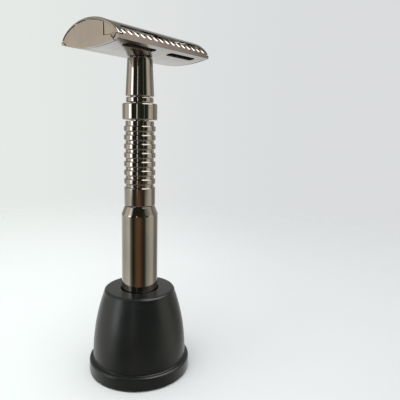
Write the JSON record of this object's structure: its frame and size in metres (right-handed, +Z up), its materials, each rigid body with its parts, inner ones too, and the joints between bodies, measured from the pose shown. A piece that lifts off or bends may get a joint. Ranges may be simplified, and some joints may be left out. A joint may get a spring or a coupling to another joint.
{
  "type": "safety razor",
  "caption": "Twist-to-open double-edge safety razor with a ribbed metal handle and butterfly doors, standing in a weighted bell-shaped stand.",
  "frame": {"origin": "centre of the stand's underside, on the razor's axis", "axes": "+Z up along the handle, +X along the head's length, so the shaving edges face -Y and +Y"},
  "size_m": [0.045, 0.0378, 0.1244],
  "materials": {
    "gunmetal": "polished dark gunmetal plating on brass",
    "blade_steel": "ground stainless steel",
    "plain_steel": "turned steel",
    "bearing_brass": "turned brass",
    "stand_black": "satin black, moulded",
    "cover_black": "matt black, moulded",
    "cast_weight": "rough cast",
    "foot_rubber": "matt rubber"
  },
  "bodies": {
    "stand": {"stand_body": "stand_black", "stand_weight": "cast_weight", "stand_base_cover": "cover_black", "cover_screw_1": "plain_steel", "cover_screw_2": "plain_steel", "cover_screw_3": "plain_steel", "stand_foot_ring": "foot_rubber"},
    "handle": {"core_tube": "plain_steel", "grip_sleeve": "gunmetal", "grip_collar": "gunmetal", "neck_ring": "gunmetal", "neck_tube": "gunmetal", "guard_plate": "gunmetal", "blade_rest": "gunmetal", "blade": "blade_steel", "knob_circlip": "plain_steel", "knob_washer": "bearing_brass"},
    "knob": {"twist_knob": "gunmetal", "knob_end_cap": "gunmetal", "knob_bush": "bearing_brass", "drive_nut": "bearing_brass"},
    "lifter": {"lift_rod": "plain_steel", "lift_bar": "plain_steel", "end_plate_left": "gunmetal", "end_plate_right": "gunmetal", "rear_lobe_pin": "plain_steel", "rear_lug_pin": "plain_steel", "front_lobe_pin": "plain_steel", "front_lug_pin": "plain_steel"},
    "front_door": {"front_door": "gunmetal"},
    "rear_door": {"rear_door": "gunmetal"}
  },
  "joints": [
    {"name": "lift_from_stand", "type": "slide", "parent": "stand", "child": "handle", "axis": [0, 0, 1], "range_m": [0, 0.025]},
    {"name": "knob_twist", "type": "hinge", "parent": "handle", "child": "knob", "pos_m": [0, 0, 0.0393], "axis": [0, 0, 1], "range_deg": [0, 540]},
    {"name": "lifter_rise", "type": "slide", "parent": "handle", "child": "lifter", "axis": [0, 0, 1], "range_m": [0, 0.003]},
    {"name": "front_door_swing", "type": "hinge", "parent": "lifter", "child": "front_door", "pos_m": [0, -0.01105, 0.1183], "axis": [1, 0, 0], "range_deg": [0, 90]},
    {"name": "rear_door_swing", "type": "hinge", "parent": "lifter", "child": "rear_door", "pos_m": [0, 0.01105, 0.1183], "axis": [-1, 0, 0], "range_deg": [0, 90]}
  ],
  "couplings": [
    {"joint": "lifter_rise", "follows": "knob_twist", "m_per_rad": 0.00031831},
    {"joint": "front_door_swing", "follows": "knob_twist", "ratio": 0.16667},
    {"joint": "rear_door_swing", "follows": "knob_twist", "ratio": 0.16667}
  ]
}
